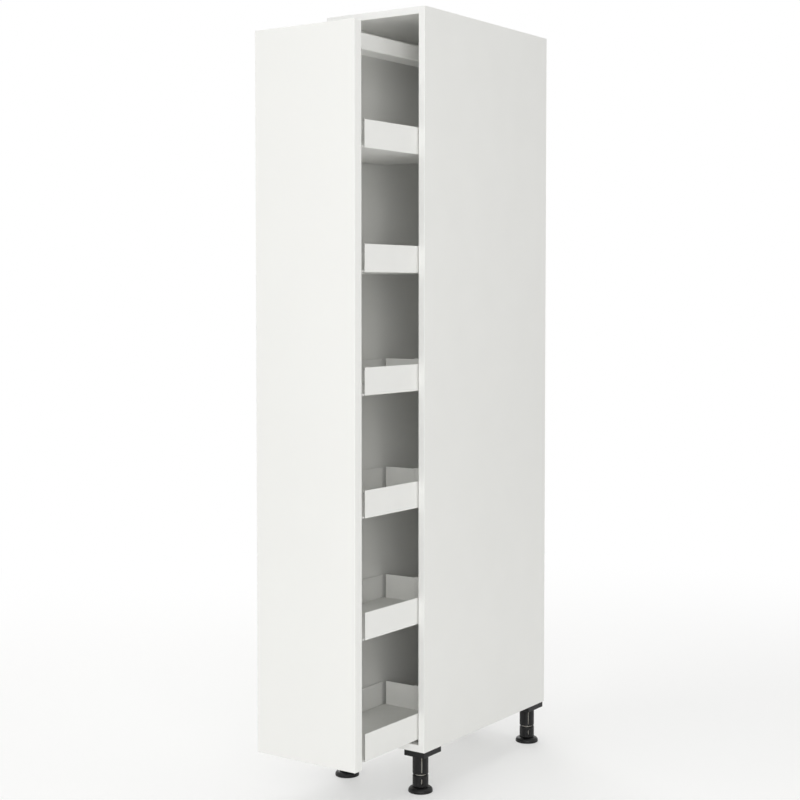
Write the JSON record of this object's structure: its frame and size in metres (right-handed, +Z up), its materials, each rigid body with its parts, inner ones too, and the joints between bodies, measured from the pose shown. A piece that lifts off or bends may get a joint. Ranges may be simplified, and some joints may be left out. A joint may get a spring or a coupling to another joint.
{
  "type": "pull out larder unit",
  "caption": "Tall narrow kitchen cabinet on adjustable legs whose door pulls out a frame of hook-in baskets on a flat ball runner.",
  "frame": {"origin": "on the floor, under the middle of the whole unit's box as it stands at rest with the pull-out partly open", "axes": "+Z up, the door faces -Y, +X to the right of someone who faces the door"},
  "size_m": [0.3, 0.885, 1.95],
  "materials": {
    "white_board": "melamine-faced chipboard, fine pearl texture, matt",
    "white_back_board": "melamine-faced board, matt",
    "white_door": "satin lacquered board",
    "white_base_board": "melamine-faced hardboard with a fine grip texture, matt",
    "white_steel": "powder coat, satin",
    "zinc_steel": "bright zinc plate",
    "runner_steel": "galvanised strip, rolled",
    "beech": "plain turned beech",
    "black_plastic": "moulded, semi-gloss",
    "natural_nylon": "moulded, natural white"
  },
  "bodies": {
    "carcass": {"side_panel_left": "white_board", "side_panel_right": "white_board", "top_panel": "white_board", "bottom_panel": "white_board", "back_panel": "white_back_board", "cam_locks": "zinc_steel", "cam_bolts": "zinc_steel", "dowels": "beech", "panel_screws": "zinc_steel", "wall_brackets": "zinc_steel", "leg_sockets": "black_plastic", "runner_outer": "runner_steel", "guide_rail": "runner_steel", "guide_hangers": "runner_steel", "guide_pins": "zinc_steel"},
    "pullout": {"door_panel": "white_door", "door_brackets": "zinc_steel", "door_screws": "zinc_steel", "machine_screws": "zinc_steel", "door_bumpers": "natural_nylon", "front_upright": "white_steel", "rear_upright": "white_steel", "top_channel": "white_steel", "runner_inner": "runner_steel", "basket_carriers": "white_steel"},
    "runner_middle": {"runner_middle": "runner_steel"},
    "ball_cage_outer": {"ball_cage_outer": "runner_steel"},
    "ball_cage_inner": {"ball_cage_inner": "runner_steel"},
    "guide_roller_left": {"guide_roller_left": "natural_nylon"},
    "guide_roller_right": {"guide_roller_right": "natural_nylon"},
    "basket_1": {"basket_1_tray": "white_steel", "basket_1_base": "white_base_board", "basket_1_hooks": "white_steel"},
    "basket_2": {"basket_2_tray": "white_steel", "basket_2_base": "white_base_board", "basket_2_hooks": "white_steel"},
    "basket_3": {"basket_3_tray": "white_steel", "basket_3_base": "white_base_board", "basket_3_hooks": "white_steel"},
    "basket_4": {"basket_4_tray": "white_steel", "basket_4_base": "white_base_board", "basket_4_hooks": "white_steel"},
    "basket_5": {"basket_5_tray": "white_steel", "basket_5_base": "white_base_board", "basket_5_hooks": "white_steel"},
    "basket_6": {"basket_6_tray": "white_steel", "basket_6_base": "white_base_board", "basket_6_hooks": "white_steel"},
    "foot_front_left": {"leg_foot_front_left": "black_plastic"},
    "adjuster_front_left": {"leg_spindle_front_left": "natural_nylon", "leg_sleeve_front_left": "black_plastic"},
    "foot_front_right": {"leg_foot_front_right": "black_plastic"},
    "adjuster_front_right": {"leg_spindle_front_right": "natural_nylon", "leg_sleeve_front_right": "black_plastic"},
    "foot_rear_left": {"leg_foot_rear_left": "black_plastic"},
    "adjuster_rear_left": {"leg_spindle_rear_left": "natural_nylon", "leg_sleeve_rear_left": "black_plastic"},
    "foot_rear_right": {"leg_foot_rear_right": "black_plastic"},
    "adjuster_rear_right": {"leg_spindle_rear_right": "natural_nylon", "leg_sleeve_rear_right": "black_plastic"}
  },
  "joints": [
    {"name": "pullout_slide", "type": "slide", "parent": "carcass", "child": "pullout", "axis": [0, -1, 0], "range_m": [-0.255, 0.225]},
    {"name": "runner_middle_slide", "type": "slide", "parent": "carcass", "child": "runner_middle", "axis": [0, -1, 0], "range_m": [-0.1275, 0.1125]},
    {"name": "ball_cage_outer_slide", "type": "slide", "parent": "carcass", "child": "ball_cage_outer", "axis": [0, -1, 0], "range_m": [-0.06375, 0.05625]},
    {"name": "ball_cage_inner_slide", "type": "slide", "parent": "carcass", "child": "ball_cage_inner", "axis": [0, -1, 0], "range_m": [-0.19125, 0.16875]},
    {"name": "guide_roller_left_turn", "type": "hinge", "parent": "carcass", "child": "guide_roller_left", "pos_m": [-0.0162, -0.1315, 1.8558], "axis": [0, 0, 1], "range_deg": [-1225, 1225]},
    {"name": "guide_roller_right_turn", "type": "hinge", "parent": "carcass", "child": "guide_roller_right", "pos_m": [0.0162, -0.0975, 1.8558], "axis": [0, 0, 1], "range_deg": [-1225, 1225]},
    {"name": "basket_1_lift", "type": "slide", "parent": "pullout", "child": "basket_1", "axis": [0, 0, 1], "range_m": [0, 0.055]},
    {"name": "basket_2_lift", "type": "slide", "parent": "pullout", "child": "basket_2", "axis": [0, 0, 1], "range_m": [0, 0.055]},
    {"name": "basket_3_lift", "type": "slide", "parent": "pullout", "child": "basket_3", "axis": [0, 0, 1], "range_m": [0, 0.055]},
    {"name": "basket_4_lift", "type": "slide", "parent": "pullout", "child": "basket_4", "axis": [0, 0, 1], "range_m": [0, 0.055]},
    {"name": "basket_5_lift", "type": "slide", "parent": "pullout", "child": "basket_5", "axis": [0, 0, 1], "range_m": [0, 0.055]},
    {"name": "basket_6_lift", "type": "slide", "parent": "pullout", "child": "basket_6", "axis": [0, 0, 1], "range_m": [0, 0.055]},
    {"name": "foot_front_left_slide", "type": "slide", "parent": "carcass", "child": "foot_front_left", "axis": [0, 0, -1], "range_m": [0, 0.02]},
    {"name": "adjuster_front_left_turn", "type": "hinge", "parent": "foot_front_left", "child": "adjuster_front_left", "pos_m": [-0.115, -0.1225, 0.04], "axis": [0, 0, -1], "range_deg": [0, 1440]},
    {"name": "foot_front_right_slide", "type": "slide", "parent": "carcass", "child": "foot_front_right", "axis": [0, 0, -1], "range_m": [0, 0.02]},
    {"name": "adjuster_front_right_turn", "type": "hinge", "parent": "foot_front_right", "child": "adjuster_front_right", "pos_m": [0.115, -0.1225, 0.04], "axis": [0, 0, -1], "range_deg": [0, 1440]},
    {"name": "foot_rear_left_slide", "type": "slide", "parent": "carcass", "child": "foot_rear_left", "axis": [0, 0, -1], "range_m": [0, 0.02]},
    {"name": "adjuster_rear_left_turn", "type": "hinge", "parent": "foot_rear_left", "child": "adjuster_rear_left", "pos_m": [-0.115, 0.4075, 0.04], "axis": [0, 0, -1], "range_deg": [0, 1440]},
    {"name": "foot_rear_right_slide", "type": "slide", "parent": "carcass", "child": "foot_rear_right", "axis": [0, 0, -1], "range_m": [0, 0.02]},
    {"name": "adjuster_rear_right_turn", "type": "hinge", "parent": "foot_rear_right", "child": "adjuster_rear_right", "pos_m": [0.115, 0.4075, 0.04], "axis": [0, 0, -1], "range_deg": [0, 1440]}
  ],
  "couplings": [
    {"joint": "runner_middle_slide", "follows": "pullout_slide", "ratio": 0.5},
    {"joint": "ball_cage_outer_slide", "follows": "pullout_slide", "ratio": 0.25},
    {"joint": "ball_cage_inner_slide", "follows": "pullout_slide", "ratio": 0.75},
    {"joint": "guide_roller_left_turn", "follows": "pullout_slide", "rad_per_m": 83.333},
    {"joint": "guide_roller_right_turn", "follows": "pullout_slide", "rad_per_m": -83.333},
    {"joint": "foot_front_left_slide", "follows": "adjuster_front_left_turn", "m_per_rad": 0.0007957},
    {"joint": "foot_front_right_slide", "follows": "adjuster_front_right_turn", "m_per_rad": 0.0007957},
    {"joint": "foot_rear_left_slide", "follows": "adjuster_rear_left_turn", "m_per_rad": 0.0007957},
    {"joint": "foot_rear_right_slide", "follows": "adjuster_rear_right_turn", "m_per_rad": 0.0007957}
  ]
}
